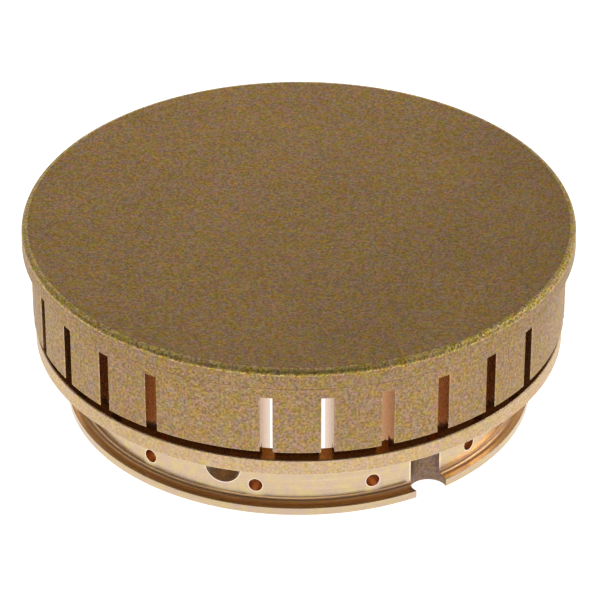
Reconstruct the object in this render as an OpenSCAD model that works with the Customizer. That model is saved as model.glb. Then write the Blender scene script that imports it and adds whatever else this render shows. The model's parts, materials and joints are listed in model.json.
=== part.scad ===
// Head of an open gas range burner, in two loose brass pieces. The teeth of a
// slotted cap stand on a turned ring and reach down into its mouth. Gas and air
// rise through the ring's bore into the cap and burn at the slots. The groove
// under the skirt carries the flame from slot to slot.
// Origin: centre of the ring's bottom face. +Z is up. The pilot port faces -Y.
// Angles are counted from -Y towards +X.

/* [Cap lid] */
// Diameter of the flat lid
lid_d = 120; // [118:0.5:124]
// Thickness of the lid
lid_t = 4.7; // [4:0.1:8]
// Radius of the lid's top edge
lid_edge_r = 1.3; // [0.4:0.1:2]

/* [Cap skirt] */
// Outside diameter of the slotted skirt, where it meets the lid
skirt_d = 116.3; // [114:0.1:117]
// How much smaller the skirt is at its foot, on the diameter
skirt_draft = 0.5; // [0.1:0.1:1]
// Inside diameter of the skirt, round the mixing chamber
chamber_d = 80; // [70:1:84]
// Height of the skirt below the lid
skirt_h = 17.15; // [15:0.05:22]
// Height of the groove between the skirt and the ring
groove_h = 2.25; // [1.5:0.05:3]
// Diameter at the bottom of that groove
groove_d = 108.6; // [108:0.1:109]

/* [Flame slots] */
// Width of one slot
slot_w = 2.75; // [2:0.05:3.5]
// Solid band left between the slots and the lid
slot_roof = 3.5; // [2:0.1:5]
// Slots in each of the four groups
slots_per_group = 6; // [4:1:6]

/* [Seat and key] */
// How far the cap's spigot reaches down below the top of the ring
spigot_deep = 8.5; // [6:0.5:9]
// Clearance between the cap's spigot and the mouth of the ring
seat_play = 0.4; // [0.3:0.05:0.6]
// Width of the key that stops the cap from turning
key_w = 6; // [4:0.5:8]
// How far the key reaches below the top of the ring
key_deep = 2; // [1.5:0.1:2.2]
// Clearance round the key
key_play = 0.3; // [0.2:0.05:0.5]

/* [Ring] */
// Height of the ring
ring_h = 18.5; // [17.5:0.1:20]
// Diameter of the top flange
flange_d = 114.8; // [112:0.1:116]
// Thickness of the flange at its edge
flange_t = 3.7; // [3:0.1:5]
// Width of the flat under the flange's edge, before the flare begins
flange_lip = 3.4; // [2:0.1:5]
// Diameter of the ring's mouth, where the cone inside it begins
mouth_d = 105.8; // [105:0.1:106.5]
// Outside diameter of the turned neck
neck_d = 96.8; // [96:0.1:97.4]
// Diameter of the straight bore
bore_d = 85; // [82:0.5:89]
// Diameter of the rim at the bottom
rim_d = 101.6; // [101:0.1:104]
// Height of that rim
rim_h = 1.85; // [1.5:0.05:2.5]
// Radius in the corner between neck and rim
corner_r = 1.2; // [0.3:0.1:1.5]

/* [Holes in the ring] */
// Diameter of the small gas ports
port_d = 3; // [2:0.1:4]
// Number of places on the port circle
port_count = 12; // [8:1:12]
// Height of the ports above the bottom face
port_z = 5.6; // [5:0.1:6.5]
// Diameter of the pilot port
pilot_d = 8; // [6:0.5:8]
// Height of the pilot port
pilot_z = 9.2; // [8.8:0.1:9.6]
// Diameter of the upright notch that locates the ring
notch_d = 8; // [6:0.5:8]
// Distance from the burner's axis to the notch's centre
notch_r = 49.6; // [49.4:0.1:50.4]
// Angle of the notch from the pilot port
notch_angle = 53.7; // [50:0.1:58]
// Height of the notch
notch_h = 10; // [8:0.5:10]

/* [Hidden] */
$fn = 144;
ARC_STEPS = 6;
GROUPS = 4;
// Size of the broken edges
EDGE = 0.3;
// How far a cutter stands out of the solid that it cuts
OVER = 2;
// Thickness of the key, and how far its root reaches up into the cap
KEY_T = 4;
KEY_ROOT = 1;

lid_r = lid_d / 2;
skirt_r = skirt_d / 2;
skirt_foot_r = (skirt_d - skirt_draft) / 2;
groove_r = groove_d / 2;
chamber_r = chamber_d / 2;
flange_r = flange_d / 2;
mouth_r = mouth_d / 2;
neck_r = neck_d / 2;
bore_r = bore_d / 2;
rim_r = rim_d / 2;

skirt_z = ring_h + groove_h;
lid_z = skirt_z + skirt_h;
top_z = lid_z + lid_t;
slot_pitch = 360 / (GROUPS * (slots_per_group + 1));

// A 45 degree cone leads from the ring's mouth down to its bore, and the cap's
// spigot is a cone that hangs just inside it.
cone_z = ring_h - (mouth_r - bore_r);
spigot_r = mouth_r - seat_play;
spigot_tip_r = spigot_r - spigot_deep;
spigot_z = ring_h - spigot_deep;

// Outside, the neck flares at 45 degrees into the flange.
flange_z = ring_h - flange_t;
flare_r = flange_r - flange_lip;
flare_z = flange_z - (flare_r - neck_r);

key_out_r = groove_r - key_play;
key_in_r = key_out_r - KEY_T;

// Points of a quarter circle from angle a0, as [radius, height] pairs
function arc(r, cx, cz, a0, a1) =
    [for (i = [0:ARC_STEPS])
        let (a = a0 + (a1 - a0) * i / ARC_STEPS)
        [cx + r * cos(a), cz + r * sin(a)]];

// Turns its children to an angle counted from -Y towards +X
module at_angle(a) {
    rotate([0, 0, a - 90]) children();
}

// Lid, skirt and spigot before the slots are cut
module cap_blank() {
    rotate_extrude()
        polygon(concat(
            [[0, lid_z], [chamber_r, lid_z], [chamber_r, spigot_z],
             [spigot_tip_r, spigot_z], [spigot_r, ring_h],
             [groove_r, ring_h], [groove_r, skirt_z], [skirt_foot_r, skirt_z],
             [skirt_r, lid_z], [lid_r, lid_z]],
            arc(lid_edge_r, lid_r - lid_edge_r, top_z - lid_edge_r, 0, 90),
            [[0, top_z]]));
}

// One slot, cut from the chamber to the outside and open at the bottom
module slot() {
    slot_h = lid_z - slot_roof - spigot_z;
    translate([chamber_r - OVER, -slot_w / 2, spigot_z - OVER])
        cube([skirt_r - chamber_r + 2 * OVER, slot_w, slot_h + OVER]);
}

// Every group of slots starts one pitch after a blank land
module slots() {
    for (g = [0:GROUPS - 1], i = [1:slots_per_group])
        at_angle(g * 360 / GROUPS + i * slot_pitch) slot();
}

// Block under the blank land at the back, or with play its slot in the ring
module key(play) {
    at_angle(180)
        translate([key_in_r, -key_w / 2 - play, ring_h - key_deep - play / 2])
            cube([KEY_T + play, key_w + 2 * play, key_deep + KEY_ROOT]);
}

module burner_cap() {
    color([0.62, 0.5, 0.34])
        union() {
            difference() {
                cap_blank();
                slots();
            }
            key(0);
        }
}

// Section of the ring, from the bottom face up the outside and down the bore
module ring_blank() {
    rotate_extrude()
        polygon(concat(
            [[bore_r, 0], [rim_r - EDGE / 2, 0], [rim_r, EDGE / 2], [rim_r, rim_h]],
            arc(corner_r, neck_r + corner_r, rim_h + corner_r, -90, -180),
            [[neck_r, flare_z], [flare_r, flange_z], [flange_r, flange_z],
             [flange_r, ring_h - EDGE], [flange_r - EDGE, ring_h],
             [mouth_r, ring_h], [bore_r, cone_z]]));
}

// A level hole through one side of the neck, and through the flare above it
module neck_hole(d, z) {
    translate([bore_r - OVER, 0, z])
        rotate([0, 90, 0])
            cylinder(d = d, h = flange_r - bore_r + 2 * OVER, $fn = 48);
}

module burner_ring() {
    color([0.82, 0.68, 0.5])
        difference() {
            ring_blank();
            key(key_play);
            for (i = [0:port_count - 1])
                at_angle(notch_angle + (i + 0.5) * 360 / port_count)
                    neck_hole(port_d, port_z);
            at_angle(0) neck_hole(pilot_d, pilot_z);
            at_angle(notch_angle)
                translate([notch_r, 0, -OVER])
                    cylinder(d = notch_d, h = notch_h + OVER, $fn = 64);
        }
}

burner_cap();
burner_ring();
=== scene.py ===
"""Looks of a gas range burner head: a blasted brass cap with milled flame slots,
standing in the mouth of a turned brass ring.

Lengths are in millimetres and are turned into metres where meshes are made.
Angles are in degrees, counted from -Y towards +X, as in the CAD model.
"""
import json
import math

import bmesh
import bpy
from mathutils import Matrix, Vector


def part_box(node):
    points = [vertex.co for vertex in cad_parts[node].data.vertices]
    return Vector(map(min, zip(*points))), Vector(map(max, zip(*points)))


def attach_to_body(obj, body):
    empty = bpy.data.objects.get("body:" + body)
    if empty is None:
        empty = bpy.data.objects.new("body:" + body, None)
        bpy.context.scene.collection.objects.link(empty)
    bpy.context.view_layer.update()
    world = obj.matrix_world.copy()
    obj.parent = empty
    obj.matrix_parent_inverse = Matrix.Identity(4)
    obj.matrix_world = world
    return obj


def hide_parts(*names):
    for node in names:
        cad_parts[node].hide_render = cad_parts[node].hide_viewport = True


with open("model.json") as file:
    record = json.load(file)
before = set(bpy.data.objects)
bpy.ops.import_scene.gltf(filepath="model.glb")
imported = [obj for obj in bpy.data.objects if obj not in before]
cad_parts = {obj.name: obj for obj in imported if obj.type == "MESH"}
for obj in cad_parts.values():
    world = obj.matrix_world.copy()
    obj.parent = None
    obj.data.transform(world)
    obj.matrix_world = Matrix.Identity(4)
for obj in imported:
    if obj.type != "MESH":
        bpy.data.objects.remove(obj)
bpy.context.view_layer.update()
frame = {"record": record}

# One millimetre in metres
MM = 0.001
# Points closer than this, in metres, are at the same place
CLOSE = 1e-6

# ---------------------------------------------------------------- sizes from the frame
mounts = {m["name"]: m for m in frame["record"]["mounts"]}
cap_low, cap_high = (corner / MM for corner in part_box("burner_cap"))
ring_low, ring_high = (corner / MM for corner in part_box("burner_ring"))

LID_R = min(cap_high.x, cap_high.y, -cap_low.x, -cap_low.y)
TOP_Z = cap_high.z
SPIGOT_Z = cap_low.z
RING_H = ring_high.z
FLANGE_R = min(ring_high.x, ring_high.y, -ring_low.x, -ring_low.y)
RIM_R = mounts["rim_spigot"]["dims"]["r_mm"]
BORE_R = mounts["gas_bore"]["dims"]["r_mm"]
CONE_Z = mounts["gas_bore"]["dims"]["length_mm"]
notch_x, notch_y = (c / MM for c in mounts["locating_notch"]["pos_m"][:2])
NOTCH_R = math.hypot(notch_x, notch_y)
NOTCH_ANGLE = math.degrees(math.atan2(notch_x, -notch_y))

# ---------------------------------------------------------------- the cap's own sizes
LID_T = 4.7
LID_EDGE_R = 1.3
# Rounding of the lid's lower edge
LID_UNDER_R = 0.25
SKIRT_TOP_R = 58.15
SKIRT_FOOT_R = 57.9
CHAMBER_R = 40.0
GROOVE_H = 2.25
GROOVE_R = 54.3
SPIGOT_R = 52.5
SLOT_W = 2.75
SLOT_ROOF = 3.5
GROUPS = 4
# Slots in a group, and the blank land before them
PITCHES_PER_GROUP = 7
KEY_W = 6.0
KEY_DEEP = 2.0
KEY_IN_R = 50.0
KEY_OUT_R = 54.0
# Faces across the land between two slots
LAND_STEPS = 6
LID_EDGE_STEPS = 6
# Width of the cap's broken edges, the steps across one, and the least angle that is broken
CAP_EDGE = 0.14
CAP_EDGE_STEPS = 2
CAP_EDGE_ANGLE = 40
# Faces that meet at a smaller angle than this are shaded as one
CAP_SMOOTH_ANGLE = 20

# ---------------------------------------------------------------- the ring's own sizes
FLANGE_T = 3.7
FLANGE_LIP = 3.4
MOUTH_R = 52.9
NECK_R = 48.4
RIM_H = 1.85
# Radius between neck and rim, and how many radii out from the neck its finish begins
CORNER_R = 1.2
CORNER_START = 1.05
# Roundings of the ring's edges, from the bore's foot up the outside to the mouth
BORE_EDGE = 0.3
RIM_FOOT_EDGE = 0.22
RIM_TOP_EDGE = 0.16
FLANGE_FOOT_EDGE = 0.25
FLANGE_TOP_EDGE = 0.3
MOUTH_EDGE = 0.2
KEY_PLAY = 0.3
PORT_R = 1.5
PORT_COUNT = 12
PORT_Z = 5.6
PILOT_R = 4.0
PILOT_Z = 9.2
NOTCH_HOLE_R = 4.0
NOTCH_H = 10.0
# Width of the bright broken edge round a hole, its depth, and its width beside the notch
HOLE_EDGE = 0.2
HOLE_EDGE_DEPTH = 0.04
NOTCH_EDGE = 0.3
# How far a drill reaches each way from the neck's surface
DRILL_REACH = 8
# How far a cutter stands out of the solid
OVER = 1.0
# Points that cutting leaves closer than this are joined
WELD = 0.001
RING_STEPS = 360
ARC_STEPS = 5
HOLE_STEPS = 48
NOTCH_STEPS = 64
NOTCH_EDGE_STEPS = 12
RING_SMOOTH_ANGLE = 25

# ---------------------------------------------------------------- camera and light
# Distances here are in metres.
CAMERA_AZIMUTH = 19.7
CAMERA_ELEVATION = 33.33
CAMERA_DISTANCE = 1.263
CAMERA_LENS = 344.1
CAMERA_CLIP = (0.05, 20)
SENSOR_WIDTH = 36
# Height of the point that the camera aims at, and how far it lies to the right of the axis
AIM_Z = 0.022
AIM_SIDE = 0.00025
FLOOR_SIZE = 4.0
# Gap that keeps the floor from flickering through the ring's foot
FLOOR_GAP = 0.0001
# Glow of the table near the burner and far out, and the distances at which each begins
TABLE_GLOW = (1.06, 0.1)
TABLE_REACH = (0.13, 0.4)
# Brightness of the room at the front and high up behind, and how high that is
SKY_DIM, SKY_BRIGHT = 0.06, 0.17
SKY_TILT = 50
# Brightness of the backdrop
BACKDROP = 1.2
# Each range runs between two cosines of the angle from a direction: the brightest part of
# the room, straight behind, and straight up
ROOM_RANGE = (0.15, 0.85)
BACKDROP_RANGE = (0.5, 0.85)
HORIZON_RANGE = (0.08, 0.3)
# Degrees round from the camera, degrees up, distance, width and watts of each light
SOFTBOXES = {
    "left_softbox": (-95, 55, 1.2, 0.6, 1.5),
    "right_softbox": (100, 35, 1.2, 0.5, 3.0),
    "back_softbox": (-175, 40, 0.3, 0.2, 0.08),
}


# ================================================================ mesh helpers
def polar(radius, angle, z):
    """Point at a radius and height in millimetres and an angle from -Y, turned into metres."""
    a = math.radians(angle)
    return Vector((radius * math.sin(a), -radius * math.cos(a), z)) * MM


def make_object(name, vertices, faces, materials, face_slots=None):
    """Links a new mesh object made of points in metres."""
    mesh = bpy.data.meshes.new(name)
    mesh.from_pydata([tuple(v) for v in vertices], [], faces)
    for material in materials:
        mesh.materials.append(material)
    if face_slots:
        mesh.polygons.foreach_set("material_index", face_slots)
    mesh.update()
    obj = bpy.data.objects.new(name, mesh)
    bpy.context.scene.collection.objects.link(obj)
    return obj


def face_outwards(obj):
    """Makes the faces of a closed mesh point out of it."""
    bm = bmesh.new()
    bm.from_mesh(obj.data)
    bmesh.ops.recalc_face_normals(bm, faces=bm.faces)
    bm.to_mesh(obj.data)
    bm.free()


def bake_modifiers(obj):
    """Replaces the mesh by what its modifiers make of it."""
    graph = bpy.context.evaluated_depsgraph_get()
    mesh = bpy.data.meshes.new_from_object(obj.evaluated_get(graph))
    obj.modifiers.clear()
    obj.data = mesh


def smooth(obj, sharp_angle):
    """Smooth shading that keeps flat faces flat and edges sharp from an angle up."""
    obj.data.shade_smooth()
    obj.data.set_sharp_from_angle(angle=math.radians(sharp_angle))
    weighted = obj.modifiers.new("weighted_normals", "WEIGHTED_NORMAL")
    weighted.keep_sharp = True
    weighted.weight = 100


# ================================================================ node helpers
class Shader:
    """A material whose nodes are added one call at a time."""

    def __init__(self, name):
        self.material = bpy.data.materials.new(name)
        self.material.use_nodes = True
        self.nodes = self.material.node_tree.nodes
        self.links = self.material.node_tree.links
        self.surface = self.nodes["Principled BSDF"]
        self.where = self.add("ShaderNodeTexCoord").outputs["Object"]

    def add(self, kind, inputs=None, **settings):
        """Adds a node; inputs are values or the sockets that feed them."""
        node = self.nodes.new(kind)
        for key, value in settings.items():
            setattr(node, key, value)
        for key, value in (inputs or {}).items():
            self.feed(node.inputs[key], value)
        return node

    def feed(self, socket, value):
        """Links a socket, or sets its value."""
        if isinstance(value, bpy.types.NodeSocket):
            self.links.new(value, socket)
        else:
            socket.default_value = value

    def set(self, **inputs):
        """Feeds the surface shader: base_color for Base Color, and so on."""
        for key, value in inputs.items():
            self.feed(self.surface.inputs[key.replace("_", " ").title()], value)

    def noise(self, per_mm, detail=2.0, roughness=0.5, where=None):
        """Noise of a given fineness, from 0 to 1."""
        node = self.add(
            "ShaderNodeTexNoise",
            {
                "Vector": where or self.where,
                "Scale": per_mm / MM,
                "Detail": detail,
                "Roughness": roughness,
            },
        )
        return node.outputs["Fac"]

    def shifted(self, by):
        """Coordinates moved by some metres, for a noise of its own."""
        return self.add("ShaderNodeVectorMath", {0: self.where, 1: (by, by, by)}).outputs["Vector"]

    def math(self, operation, a, b=0.0):
        """One sum, as a socket."""
        node = self.add("ShaderNodeMath", {0: a, 1: b}, operation=operation)
        return node.outputs["Value"]

    def between(self, value, low, high, out_low=0.0, out_high=1.0):
        """Spreads value from one range to another, clamped."""
        node = self.add(
            "ShaderNodeMapRange",
            {
                "Value": value,
                "From Min": low,
                "From Max": high,
                "To Min": out_low,
                "To Max": out_high,
            },
        )
        return node.outputs["Result"]

    def mix(self, factor, a, b, mode="MIX"):
        """Mixes two colours."""
        node = self.add("ShaderNodeMix", data_type="RGBA", blend_type=mode)
        self.feed(node.inputs[0], factor)
        self.feed(node.inputs[6], a)
        self.feed(node.inputs[7], b)
        return node.outputs[2]

    def bump(self, height, depth):
        """Relief of a given depth in millimetres."""
        inputs = {"Height": height, "Distance": depth * MM, "Strength": 1.0}
        return self.add("ShaderNodeBump", inputs).outputs["Normal"]

    def around(self, along, across):
        """Coordinates stretched round the axis, so that noise makes turned lines."""
        split = self.add("ShaderNodeSeparateXYZ", {0: self.where})
        x, y, z = (split.outputs[i] for i in range(3))
        square = self.math("ADD", self.math("MULTIPLY", x, x), self.math("MULTIPLY", y, y))
        radius = self.math("SQRT", square)
        turn = self.math("ARCTAN2", x, y)
        node = self.add(
            "ShaderNodeCombineXYZ",
            {
                0: self.math("MULTIPLY", radius, across),
                1: self.math("MULTIPLY", turn, along * FLANGE_R * MM),
                2: self.math("MULTIPLY", z, across),
            },
        )
        return node.outputs[0]


# ================================================================ materials
def tint(colour, by):
    """Colour with each channel multiplied."""
    return (*(c * k for c, k in zip(colour, by)), 1)


def blasted_brass(name, colour, roughness, contrast=1.0, mottle=0.8, relief=0.1):
    """Cast brass after blasting: fine grain, mottled between olive and plum brown.

    Contrast is that of the grain in brightness, mottle that of its hues, relief its depth.
    """
    s = Shader(name)
    grain = s.noise(1.8, 2.0, 0.6)
    cloud = s.noise(0.65, 3.0, 0.65)
    blush = s.noise(0.65, 2.0, 0.6, where=s.shifted(0.5))
    speck = s.noise(4.0, 1.0, 0.5)
    patch = s.noise(0.04, 3.0, 0.55)
    olive = tint(colour, (1 + 0.03 * mottle, 1 + 0.03 * mottle, 1 - 0.5 * mottle))
    plum = tint(colour, (1 - 0.03 * mottle, 1 - 0.04 * mottle, 1 + 0.45 * mottle))
    mixed = s.mix(s.between(cloud, 0.38, 0.62), olive, plum)
    green = (1 - 0.06 * mottle, 1 + 0.06 * mottle, 1, 1)
    red = (1 + 0.06 * mottle, 1 - 0.06 * mottle, 1, 1)
    hue = s.mix(s.between(blush, 0.38, 0.62), green, red)
    mixed = s.mix(1.0, mixed, hue, "MULTIPLY")
    low, high = 1 - 0.25 * contrast, 1 + 0.25 * contrast
    fine = s.between(grain, 0.34, 0.66, low, high)
    broad = s.between(patch, 0.3, 0.7, 0.94, 1.06)
    mixed = s.mix(1.0, mixed, s.math("MULTIPLY", fine, broad), "MULTIPLY")
    glints = s.between(speck, 0.62, 0.74, 0.0, 0.5 * contrast)
    mixed = s.mix(glints, mixed, tint(colour, (1.6, 1.6, 1.5)))
    height = s.math("ADD", grain, s.math("MULTIPLY", speck, 0.6))
    s.set(
        base_color=mixed,
        metallic=1.0,
        roughness=s.between(grain, 0.3, 0.7, roughness + 0.06, roughness - 0.06),
        normal=s.bump(height, relief),
    )
    return s.material


def turned_brass(name, colour, roughness, contrast=1.0, fineness=3.0):
    """Brass off the lathe: fine rings round the axis under a thin cloud of tarnish.

    Contrast is that of the rings, and fineness is how many there are in a millimetre.
    """
    s = Shader(name)
    rings = s.noise(1.0, 2.0, 0.6, where=s.around(0.03, fineness))
    cloud = s.noise(0.5, 3.0, 0.6)
    olive = tint(colour, (1.02, 1.03, 0.85))
    plum = tint(colour, (0.97, 0.94, 1.1))
    low, high = 1 - 0.12 * contrast, 1 + 0.12 * contrast
    light = s.between(rings, 0.3, 0.7, low, high)
    tarnished = s.mix(s.between(cloud, 0.38, 0.62), olive, plum)
    s.set(
        base_color=s.mix(1.0, tarnished, light, "MULTIPLY"),
        metallic=1.0,
        roughness=s.between(cloud, 0.3, 0.7, roughness - 0.03, roughness + 0.05),
        normal=s.bump(rings, 0.008 * contrast),
    )
    return s.material


def milled_brass(name, colour, roughness):
    """Slot walls as the cutter left them: smooth, with faint upright marks."""
    s = Shader(name)
    stretched = s.add("ShaderNodeMapping", {"Vector": s.where, "Scale": (4.0, 4.0, 0.5)})
    marks = s.noise(1.0, 2.0, 0.6, where=stretched.outputs[0])
    dull = tint(colour, (0.92, 0.9, 0.88))
    bright = tint(colour, (1.05, 1.05, 1.05))
    s.set(
        base_color=s.mix(s.between(marks, 0.3, 0.7), dull, bright),
        metallic=1.0,
        roughness=s.between(marks, 0.3, 0.7, roughness, roughness + 0.05),
        normal=s.bump(marks, 0.003),
    )
    return s.material


def floor_white(name, glow, dim, near, far):
    """Pale studio table that glows like a light table, brightest round the burner and dimmer
    further out: a painted pool of light.
    """
    s = Shader(name)
    cloud = s.noise(0.004, 2.0, 0.5)
    reach = s.add("ShaderNodeVectorMath", {0: s.where}, operation="LENGTH").outputs["Value"]
    s.set(
        base_color=s.mix(cloud, (0.43, 0.43, 0.43, 1), (0.47, 0.47, 0.47, 1)),
        roughness=0.9,
        emission_color=(1.0, 1.0, 1.0, 1.0),
        emission_strength=s.between(reach, near, far, glow, dim),
    )
    return s.material


# ================================================================ the cap
def cap_stations():
    """One turn of stations: both edges of each slot or blank, then steps across the land.

    A station is (pitch number, side of the slot, share of the land, is a slot after it).
    """
    stations = []
    for i in range(GROUPS * PITCHES_PER_GROUP):
        stations.append((i, -1, 0, i % PITCHES_PER_GROUP != 0))
        stations += [(i, 1, k / LAND_STEPS, False) for k in range(LAND_STEPS)]
    return stations


def station_angle(station, radius):
    """Angle of a station at a radius: slot walls are parallel, lands are spread evenly."""
    number, side, share, _ = station
    pitch = 360.0 / (GROUPS * PITCHES_PER_GROUP)
    half = math.degrees(math.asin(SLOT_W / 2 / max(radius, CHAMBER_R)))
    return number * pitch + side * half + share * (pitch - 2 * half)


def build_cap(blasted, milled, inside, worn, lid_edge, painted_shade_edge, shaded_lid_top):
    """Cap as a ring of solid cells, of which only the outer faces are kept.

    Cells lie between stations round the axis, radii across and heights up. The
    spigot's cone is the cell whose lower outer edge is moved in to its lower inner one.
    """
    stations = cap_stations()
    skirt_z = RING_H + GROOVE_H
    lid_z = TOP_Z - LID_T
    heights = [SPIGOT_Z, RING_H, skirt_z, lid_z - SLOT_ROOF, lid_z, TOP_Z]
    spigot_row, groove_row, slot_row, band_row, lid_row = range(5)
    cone_r = SPIGOT_R - (RING_H - SPIGOT_Z)
    radii = [0.0, CHAMBER_R, cone_r, SPIGOT_R, GROOVE_R, SKIRT_TOP_R, LID_R]
    spigot_edge, groove_edge, skirt_edge, lid_edge_at = range(3, 7)
    solid_to = {
        spigot_row: spigot_edge,
        groove_row: groove_edge,
        slot_row: skirt_edge,
        band_row: skirt_edge,
        lid_row: lid_edge_at,
    }

    def solid(s, i, j):
        """Whether there is metal after a station, a radius and a height."""
        if j not in solid_to or not 0 <= i < solid_to[j]:
            return False
        if j == lid_row:
            return True
        cut_through = stations[s % len(stations)][3] and j <= slot_row
        return i > 0 and not cut_through

    index, points = {}, []

    def corner(s, i, j):
        """Number of the point at a station, radius and height, made when first asked for."""
        s %= len(stations)
        if i == spigot_edge and j == spigot_row:
            i -= 1
        key = (s, i, j) if i else (0, 0, j)
        if key not in index:
            radius, z = radii[i], heights[j]
            if i == skirt_edge and skirt_z <= z < lid_z:
                up = (z - skirt_z) / (lid_z - skirt_z)
                radius = SKIRT_FOOT_R + (SKIRT_TOP_R - SKIRT_FOOT_R) * up
            index[key] = len(points)
            points.append(polar(radius, station_angle(stations[s], radius), z))
        return index[key]

    faces, slots = [], []
    finishes = [blasted, milled, inside, worn, lid_edge, painted_shade_edge, shaded_lid_top]
    blasted_slot, milled_slot, inside_slot, worn_slot, edge_slot, painted_shade_slot, shaded_top_slot = range(7)

    def wall(slot, *corners):
        """Keeps a face, without the corners that fall together."""
        face = list(dict.fromkeys(corner(*c) for c in corners))
        if len(face) > 2:
            faces.append(face)
            slots.append(slot)

    cells = (
        (s, i, j)
        for s in range(len(stations))
        for i in range(len(radii) - 1)
        for j in range(len(heights) - 1)
        if solid(s, i, j)
    )
    # The groove's outer wall takes the dark under-edge brass: painted shade where the skirt shades
    # the groove.
    outer_finish = {spigot_row: inside_slot, groove_row: painted_shade_slot}
    for s, i, j in cells:
        s1, i1, j1 = s + 1, i + 1, j + 1
        if not solid(s1, i, j):
            wall(milled_slot, (s1, i, j), (s1, i1, j), (s1, i1, j1), (s1, i, j1))
        if not solid(s - 1, i, j):
            wall(milled_slot, (s, i, j), (s, i, j1), (s, i1, j1), (s, i1, j))
        if not solid(s, i1, j):
            outer = outer_finish.get(j, blasted_slot)
            wall(outer, (s, i1, j), (s, i1, j1), (s1, i1, j1), (s1, i1, j))
        if i and not solid(s, i - 1, j):
            wall(inside_slot, (s, i, j), (s1, i, j), (s1, i, j1), (s, i, j1))
        # Top faces are the lid's top, in the darker copy of the cap's brass: painted shade.
        if not solid(s, i, j1):
            wall(shaded_top_slot, (s, i, j1), (s1, i, j1), (s1, i1, j1), (s, i1, j1))
        # The skirt's foot takes the dark under-edge brass: painted shade under the skirt.
        if not solid(s, i, j - 1):
            under_lid = blasted_slot if i else inside_slot
            lower_finish = {slot_row: painted_shade_slot, band_row: milled_slot, lid_row: under_lid}
            lower = lower_finish.get(j, inside_slot)
            wall(lower, (s, i, j), (s, i1, j), (s1, i1, j), (s1, i, j))

    cap = make_object("cap_casting", points, faces, finishes, slots)
    face_outwards(cap)
    combine(cap, cutters("cap_key", [key(0)], inside), "UNION")
    round_lid_edges(cap, edge_slot)
    bake_modifiers(cap)
    # The lid's lower rounding takes the dark under-edge brass: a painted shadow line under the
    # lid's edge.
    for face in cap.data.polygons:
        if face.material_index == edge_slot and face.center.z < (lid_z + LID_UNDER_R) * MM:
            face.material_index = painted_shade_slot
    soften_edges(cap, (GROOVE_R + SKIRT_FOOT_R) / 2, worn_slot)
    bake_modifiers(cap)
    smooth(cap, CAP_SMOOTH_ANGLE)
    for face in cap.data.polygons:
        face.use_smooth = face.material_index != milled_slot
    return cap


def round_lid_edges(cap, edge_slot):
    """Rounds the lid's top edge to its full radius and its bottom edge a little."""
    weights = cap.data.attributes.new("bevel_weight_edge", "FLOAT", "EDGE")
    outside = LID_R * MM
    # Height of each edge, and its radius as a share of the top edge's
    rounding = {round(TOP_Z, 3): 1.0, round(TOP_Z - LID_T, 3): LID_UNDER_R / LID_EDGE_R}
    for edge in cap.data.edges:
        ends = [cap.data.vertices[v].co for v in edge.vertices]
        heights = {round(p.z / MM, 3) for p in ends}
        on_rim = len(heights) == 1 and all(abs(p.xy.length - outside) < CLOSE for p in ends)
        weights.data[edge.index].value = rounding.get(heights.pop(), 0.0) if on_rim else 0.0
    bevel = cap.modifiers.new("lid_edges", "BEVEL")
    bevel.limit_method = "WEIGHT"
    bevel.width = LID_EDGE_R * MM
    bevel.segments = LID_EDGE_STEPS
    bevel.material = edge_slot


def soften_edges(obj, outside, edge_slot):
    """Breaks the sharp edges outside a radius a little, as blasting and handling do."""
    bm = bmesh.new()
    bm.from_mesh(obj.data)
    weight = bm.edges.layers.float["bevel_weight_edge"]
    for edge in bm.edges:
        sharp = edge.calc_face_angle_signed() > math.radians(CAP_EDGE_ANGLE)
        edge[weight] = float(sharp and all(v.co.xy.length > outside * MM for v in edge.verts))
    bm.to_mesh(obj.data)
    bm.free()
    bevel = obj.modifiers.new("edges", "BEVEL")
    bevel.limit_method = "WEIGHT"
    bevel.width = CAP_EDGE * MM
    bevel.segments = CAP_EDGE_STEPS
    bevel.material = edge_slot


# ================================================================ the ring
def rounded(outline):
    """Outline of (radius, height, corner radius, slot) points with each corner made an arc.

    A slot is that of the stretch after its point, and an arc takes that of the stretch before.
    """
    points = []
    for n, (r, z, fillet, slot) in enumerate(outline):
        here = Vector((r, z))
        if not fillet:
            points.append((r, z, slot))
            continue
        before = Vector(outline[n - 1][:2]) - here
        after = Vector(outline[(n + 1) % len(outline)][:2]) - here
        half = before.angle(after) / 2
        reach = fillet / math.tan(half)
        start = here + before.normalized() * reach
        end = here + after.normalized() * reach
        inwards = (before.normalized() + after.normalized()).normalized()
        centre = here + inwards * fillet / math.sin(half)
        a, b = start - centre, end - centre
        span = a.angle(b)
        for k in range(ARC_STEPS + 1):
            t = k / ARC_STEPS
            spoke = (a * math.sin((1 - t) * span) + b * math.sin(t * span)) / math.sin(span)
            points.append((*(centre + spoke), slot if k == ARC_STEPS else outline[n - 1][3]))
    return points


def revolve(name, outline, materials, steps):
    """Closed outline turned once round the axis; each point's slot colours the face after it."""
    points = [polar(r, 360.0 * s / steps, z) for s in range(steps) for r, z, _ in outline]
    count = len(outline)
    faces, slots = [], []
    for s in range(steps):
        for n, (_, _, slot) in enumerate(outline):
            m = (n + 1) % count
            t = (s + 1) % steps
            faces.append((s * count + n, t * count + n, t * count + m, s * count + m))
            slots.append(slot)
    obj = make_object(name, points, faces, materials, slots)
    face_outwards(obj)
    return obj


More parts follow.
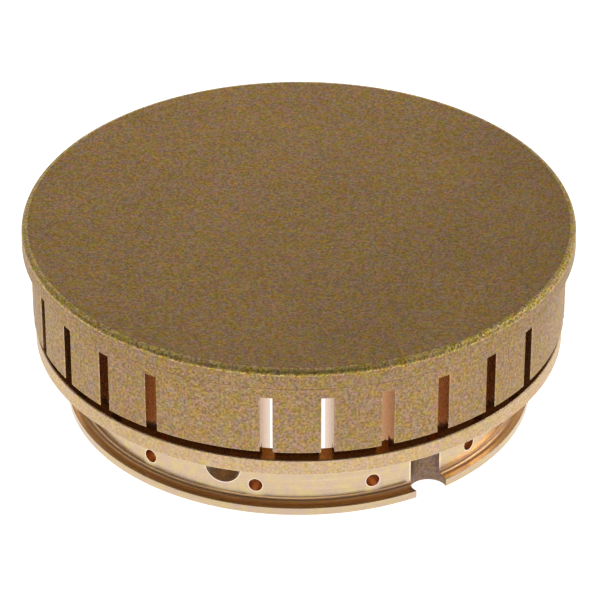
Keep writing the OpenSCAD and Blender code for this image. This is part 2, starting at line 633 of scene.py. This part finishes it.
def ring_outline():
    """Section of the ring, up the outside and down the inside, with the slot of each stretch."""
    blasted, turned, rim, bored, side, seat, corner = range(7)
    flange_z = RING_H - FLANGE_T
    flare_r = FLANGE_R - FLANGE_LIP
    flare_z = flange_z - (flare_r - NECK_R)
    return rounded([
        (BORE_R, 0.0, BORE_EDGE, side),
        (RIM_R, 0.0, RIM_FOOT_EDGE, side),
        (RIM_R, RIM_H, RIM_TOP_EDGE, rim),
        (NECK_R + CORNER_START * CORNER_R, RIM_H, 0.0, corner),
        (NECK_R, RIM_H, CORNER_R, turned),
        (NECK_R, flare_z, 0.0, turned),
        (flare_r, flange_z, 0.0, turned),
        (FLANGE_R, flange_z, FLANGE_FOOT_EDGE, blasted),
        (FLANGE_R, RING_H, FLANGE_TOP_EDGE, seat),
        (MOUTH_R, RING_H, MOUTH_EDGE, bored),
        (BORE_R, CONE_Z, 0.0, bored),
    ])


def drill(angle, z, radius, spread, reach):
    """Cutter for a level hole, which reaches as far inside the neck's surface as outside it.

    It is straight if spread is zero; otherwise it widens by that much as it comes out.
    """
    steps = HOLE_STEPS
    centre_line = polar(1, angle, 0).normalized()
    side = Vector((-centre_line.y, centre_line.x, 0))
    points = []
    for depth, r in ((-reach, radius), (reach, radius + spread)):
        for k in range(steps):
            a = 2 * math.pi * k / steps
            x = math.cos(a) * r
            out = math.sqrt(NECK_R ** 2 - x ** 2) + depth
            across = side * x + Vector((0, 0, z + math.sin(a) * r))
            points.append((centre_line * out + across) * MM)
    faces = [(k, (k + 1) % steps, (k + 1) % steps + steps, k + steps) for k in range(steps)]
    for start in (0, steps):
        centre = sum(points[start:start + steps], Vector()) / steps
        points.append(centre)
        faces += [(start + k, start + (k + 1) % steps, len(points) - 1) for k in range(steps)]
    return points, faces


def notch():
    """Cutter for the notch, an upright round hole that stands half out of the neck."""
    steps = NOTCH_STEPS
    centre = polar(NOTCH_R, NOTCH_ANGLE, 0)
    points = []
    for z in (-OVER, NOTCH_H):
        for k in range(steps):
            points.append(centre + polar(NOTCH_HOLE_R, 360.0 * k / steps, z))
    faces = [(k, (k + 1) % steps, (k + 1) % steps + steps, k + steps) for k in range(steps)]
    faces.append(tuple(range(steps)))
    faces.append(tuple(range(2 * steps - 1, steps - 1, -1)))
    return points, faces


def notch_edges():
    """Shallow cutter that follows the neck and is a little wider than the notch."""
    steps = NOTCH_EDGE_STEPS
    low, high = RIM_H + CORNER_R, RING_H - FLANGE_T - (FLANGE_R - FLANGE_LIP - NECK_R)
    # Angle from the notch's middle to where its wall meets the neck
    meet = math.acos((NECK_R ** 2 + NOTCH_R ** 2 - NOTCH_HOLE_R ** 2) / (2 * NECK_R * NOTCH_R))
    half = math.degrees(meet + NOTCH_EDGE / NECK_R)
    arc = [NOTCH_ANGLE - half + 2 * half * k / steps for k in range(steps + 1)]
    inner, outer = NECK_R - HOLE_EDGE_DEPTH, NECK_R + OVER
    points = []
    for z in (low, high):
        points += [polar(inner, a, z) for a in arc]
        points += [polar(outer, a, z) for a in reversed(arc)]
    n = 2 * len(arc)
    faces = [(k, (k + 1) % n, n + (k + 1) % n, n + k) for k in range(n)]
    faces.append(tuple(range(n)))
    faces.append(tuple(range(2 * n - 1, n - 1, -1)))
    return points, faces


def key(play):
    """Key block under the blank land at the back, or its slot when it has play."""
    half = KEY_W / 2 + play
    low, high = RING_H - KEY_DEEP - play / 2, RING_H + OVER
    inner, outer = KEY_IN_R, KEY_OUT_R + play
    corners = [(inner, -half), (outer, -half), (outer, half), (inner, half)]
    points = [Vector((x, y, z)) * MM for z in (low, high) for y, x in corners]
    faces = [(0, 1, 2, 3), (4, 5, 6, 7)]
    faces += [(k, (k + 1) % 4, (k + 1) % 4 + 4, k + 4) for k in range(4)]
    return points, faces


def cutters(name, shapes, material):
    """All cutters of one finish as a single mesh."""
    points, faces = [], []
    for shape_points, shape_faces in shapes:
        start = len(points)
        points += shape_points
        faces += [tuple(start + v for v in face) for face in shape_faces]
    obj = make_object(name, points, faces, [material])
    face_outwards(obj)
    return obj


def combine(obj, other, operation):
    """Joins another solid to a piece or cuts it out; its faces keep their own material."""
    boolean = obj.modifiers.new("combine", "BOOLEAN")
    boolean.operation = operation
    boolean.solver = "EXACT"
    boolean.material_mode = "TRANSFER"
    boolean.object = other
    bake_modifiers(obj)
    bpy.data.objects.remove(other)


def clean_cuts(obj):
    """Joins points that lie almost together after cutting, and splits many-sided faces well."""
    bm = bmesh.new()
    bm.from_mesh(obj.data)
    bmesh.ops.remove_doubles(bm, verts=bm.verts, dist=WELD * MM)
    bmesh.ops.triangulate(bm, faces=[face for face in bm.faces if len(face.verts) > 4])
    bm.to_mesh(obj.data)
    bm.free()


def build_ring(blasted, turned, rim, bored, side, seat, corner, port, pilot, hole_edge, rough):
    """Ring turned from its section, then drilled and notched."""
    finishes = [blasted, turned, rim, bored, side, seat, corner]
    ring = revolve("ring_casting", ring_outline(), finishes, RING_STEPS)
    pitch = 360 / PORT_COUNT
    ports = [(NOTCH_ANGLE + (i + 0.5) * pitch, PORT_Z, PORT_R) for i in range(PORT_COUNT)]
    pilot_hole = (0, PILOT_Z, PILOT_R)
    edges = [drill(*hole, 2 * HOLE_EDGE, HOLE_EDGE_DEPTH) for hole in (*ports, pilot_hole)]
    edges.append(notch_edges())
    cuts = (
        ("hole_edges", edges, hole_edge),
        ("ports", [drill(*hole, 0, DRILL_REACH) for hole in ports], port),
        ("pilot", [drill(*pilot_hole, 0, DRILL_REACH)], pilot),
        ("notch", [notch()], rough),
        ("key_slot", [key(KEY_PLAY)], bored),
    )
    for name, shapes, finish in cuts:
        combine(ring, cutters(name, shapes, finish), "DIFFERENCE")
    clean_cuts(ring)
    smooth(ring, RING_SMOOTH_ANGLE)
    return ring


# ================================================================ stage
def build_camera():
    """Long lens from above, turned a little round from the pilot port."""
    turn, tilt = math.radians(CAMERA_AZIMUTH), math.radians(CAMERA_ELEVATION)
    level = math.cos(tilt)
    back = Vector((math.sin(turn) * level, -math.cos(turn) * level, math.sin(tilt)))
    right = Vector((math.cos(turn), math.sin(turn), 0))
    data = bpy.data.cameras.new("camera")
    data.sensor_width = SENSOR_WIDTH
    data.lens = CAMERA_LENS
    data.clip_start, data.clip_end = CAMERA_CLIP
    camera = bpy.data.objects.new("camera", data)
    camera.location = back * CAMERA_DISTANCE
    aim = Vector((0, 0, AIM_Z)) + right * AIM_SIDE
    camera.rotation_mode = "QUATERNION"
    camera.rotation_quaternion = (aim - camera.location).to_track_quat("-Z", "Y")
    bpy.context.scene.collection.objects.link(camera)
    bpy.context.scene.camera = camera


def build_floor():
    """Large pale table under the burner."""
    half = FLOOR_SIZE / 2
    corners = ((-1, -1), (1, -1), (1, 1), (-1, 1))
    points = [(x * half, y * half, -FLOOR_GAP) for x, y in corners]
    white = floor_white("floor_white", *TABLE_GLOW, *TABLE_REACH)
    floor = make_object("studio_floor", points, [(0, 1, 2, 3)], [white])


def softbox(name, azimuth, elevation, distance, size, power):
    """Square area light aimed at the burner, which doesn't show as a shape itself."""
    data = bpy.data.lights.new(name, "AREA")
    data.energy = power
    data.size = size
    light = bpy.data.objects.new(name, data)
    light.visible_camera = False
    a, e = math.radians(azimuth), math.radians(elevation)
    back = Vector((math.sin(a) * math.cos(e), -math.cos(a) * math.cos(e), math.sin(e)))
    light.location = back * distance
    light.rotation_mode = "QUATERNION"
    light.rotation_quaternion = (-back).to_track_quat("-Z", "Y")
    bpy.context.scene.collection.objects.link(light)


def build_sky():
    """Soft grey room: dim low on the front, lighter above, with a pale backdrop low behind."""
    world = bpy.data.worlds.new("studio")
    world.use_nodes = True
    nodes, links = world.node_tree.nodes, world.node_tree.links
    where = nodes.new("ShaderNodeTexCoord").outputs["Generated"]
    turn = math.radians(CAMERA_AZIMUTH)

    def spread(tilt, low, high, dark, bright):
        """Brightness that grows towards a direction at the back, raised by tilt."""
        level, rise = math.cos(math.radians(tilt)), math.sin(math.radians(tilt))
        facing = nodes.new("ShaderNodeVectorMath")
        facing.operation = "DOT_PRODUCT"
        facing.inputs[1].default_value = (-math.sin(turn) * level, math.cos(turn) * level, rise)
        links.new(where, facing.inputs[0])
        ramp = nodes.new("ShaderNodeMapRange")
        limits = {"From Min": low, "From Max": high, "To Min": dark, "To Max": bright}
        for name, value in limits.items():
            ramp.inputs[name].default_value = value
        links.new(facing.outputs["Value"], ramp.inputs["Value"])
        return ramp.outputs["Result"]

    def combined(operation, a, b):
        """One sum of two sockets."""
        node = nodes.new("ShaderNodeMath")
        node.operation = operation
        links.new(a, node.inputs[0])
        links.new(b, node.inputs[1])
        return node.outputs["Value"]

    room = spread(SKY_TILT, *ROOM_RANGE, SKY_DIM, SKY_BRIGHT)
    behind = spread(0, *BACKDROP_RANGE, 0.0, BACKDROP)
    low_down = spread(90, *HORIZON_RANGE, 1.0, 0.0)
    strength = combined("ADD", room, combined("MULTIPLY", behind, low_down))
    links.new(strength, nodes["Background"].inputs["Strength"])
    nodes["Background"].inputs["Color"].default_value = (1, 1, 1, 1)
    bpy.context.scene.world = world


def attach(piece, body, node):
    """Puts a piece in a CAD node's place."""
    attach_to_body(piece, body)
    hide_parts(node)


# ================================================================ the scene
build_camera()
bpy.context.scene.view_settings.view_transform = "Standard"
build_floor()
build_sky()
for light_name, (around_from_camera, *placing) in SOFTBOXES.items():
    softbox(light_name, CAMERA_AZIMUTH + around_from_camera, *placing)

# Finishes: name, colour, roughness. The dark brass on the lid's lower edge is painted shade;
# it also covers the skirt's foot and the groove above the flange, and the seat's the ring's top
# face.
cap_blasted = blasted_brass("cap_blasted", (0.45, 0.295, 0.143), 0.55, mottle=0.85)
# The lid's top: a darker, yellower copy of the cap's brass, painted shade for the lesser light on
# the top.
shaded_lid_top = blasted_brass("shaded_lid_top", (0.425, 0.262, 0.102), 0.55, mottle=1.15)
lid_edge = blasted_brass("lid_edge", (0.64, 0.45, 0.16), 0.5, contrast=1.8, mottle=1.0, relief=0.16)
# Dark brass that paints the shade under the lid's edge, on the skirt's foot and in the groove.
painted_shade_edge = blasted_brass("painted_shade_edge", (0.3, 0.16, 0.08), 0.6, contrast=1.2, mottle=0.5)
worn_edge = blasted_brass("worn_edge", (0.56, 0.4, 0.22), 0.45, contrast=1.2)
slot_milled = milled_brass("slot_milled", (0.7, 0.45, 0.23), 0.24)
chamber_cast = blasted_brass("chamber_cast", (0.5, 0.3, 0.14), 0.6)
flange_blasted = blasted_brass("flange_blasted", (0.6, 0.42, 0.235), 0.42, contrast=0.6, mottle=0.5)
neck_turned = turned_brass("neck_turned", (0.63, 0.485, 0.305), 0.24, contrast=0.5)
rim_turned = turned_brass("rim_turned", (0.88, 0.59, 0.34), 0.34, contrast=2.5, fineness=1.3)
rim_side = turned_brass("rim_side", (0.6, 0.46, 0.3), 0.28, contrast=0.7)
bore_turned = turned_brass("bore_turned", (0.48, 0.3, 0.15), 0.32)
seat_turned = turned_brass("seat_turned", (0.68, 0.43, 0.19), 0.26)
corner_turned = turned_brass("corner_turned", (0.7, 0.43, 0.23), 0.38, contrast=2.2)
port_drilled = turned_brass("port_drilled", (0.72, 0.39, 0.18), 0.35)
pilot_drilled = blasted_brass("pilot_drilled", (0.5, 0.42, 0.34), 0.5, contrast=0.6, mottle=0.4)
hole_edge = turned_brass("hole_edge", (0.88, 0.77, 0.6), 0.3)
notch_rough = blasted_brass("notch_rough", (0.27, 0.175, 0.12), 0.5, contrast=0.8, mottle=0.4)

cap = build_cap(cap_blasted, slot_milled, chamber_cast, worn_edge, lid_edge, painted_shade_edge, shaded_lid_top)
attach(cap, "cap", "burner_cap")
ring = build_ring(
    flange_blasted, neck_turned, rim_turned, bore_turned, rim_side, seat_turned, corner_turned,
    port_drilled, pilot_drilled, hole_edge, notch_rough,
)
attach(ring, "ring", "burner_ring")
